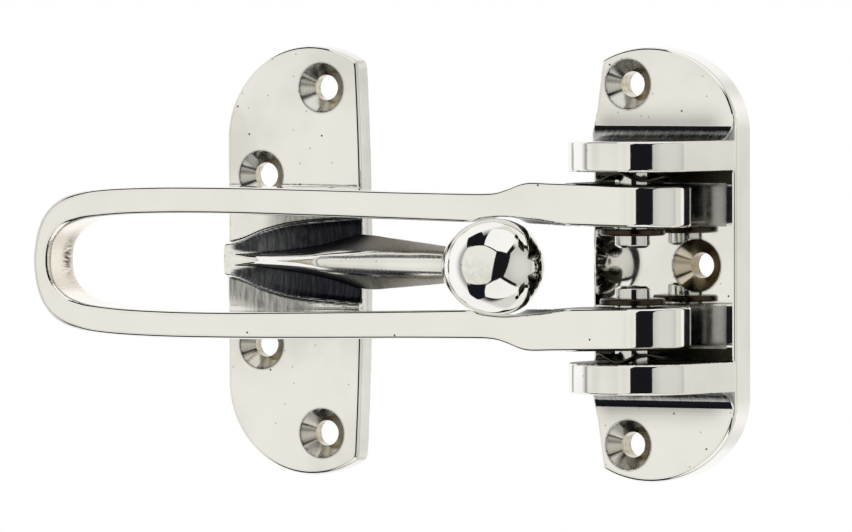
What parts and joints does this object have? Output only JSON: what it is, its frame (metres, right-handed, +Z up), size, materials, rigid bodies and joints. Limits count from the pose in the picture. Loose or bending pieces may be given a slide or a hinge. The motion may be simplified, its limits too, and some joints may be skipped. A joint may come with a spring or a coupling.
{
  "type": "swing bar door guard",
  "caption": "Chrome door guard: a slotted U-shaped bar swings on a hinge plate with ears, and a ball on an arm of a second plate runs in its slot to limit how far the door opens.",
  "frame": {"origin": "on the hinge plate's back face, straight behind the pivot axis, at mid-height", "axes": "+X along the closed bar towards the hinge side, +Y into the surface that both plates are screwed to, +Z up along the pivot axis"},
  "size_m": [0.1294, 0.0342, 0.076],
  "materials": {
    "polished_chrome": "mirror polish with faint buffing marks and fine pits",
    "pin_steel": "polished, turned",
    "bronzed_washer": "dark bronzed",
    "dark_spring_steel": "blackened, oiled"
  },
  "bodies": {
    "plates": {"hinge_plate": "polished_chrome", "upper_pivot_pin": "pin_steel", "lower_pivot_pin": "pin_steel", "upper_retaining_washer": "bronzed_washer", "lower_retaining_washer": "bronzed_washer", "upper_wave_washer": "dark_spring_steel", "lower_wave_washer": "dark_spring_steel", "ball_plate": "polished_chrome", "striker_ball": "polished_chrome"},
    "bar": {"swing_bar": "polished_chrome"}
  },
  "joints": [
    {"name": "bar_swing", "type": "hinge", "parent": "plates", "child": "bar", "pos_m": [0, -0.0168, 0], "axis": [0, 0, 1], "range_deg": [0, 180]}
  ]
}
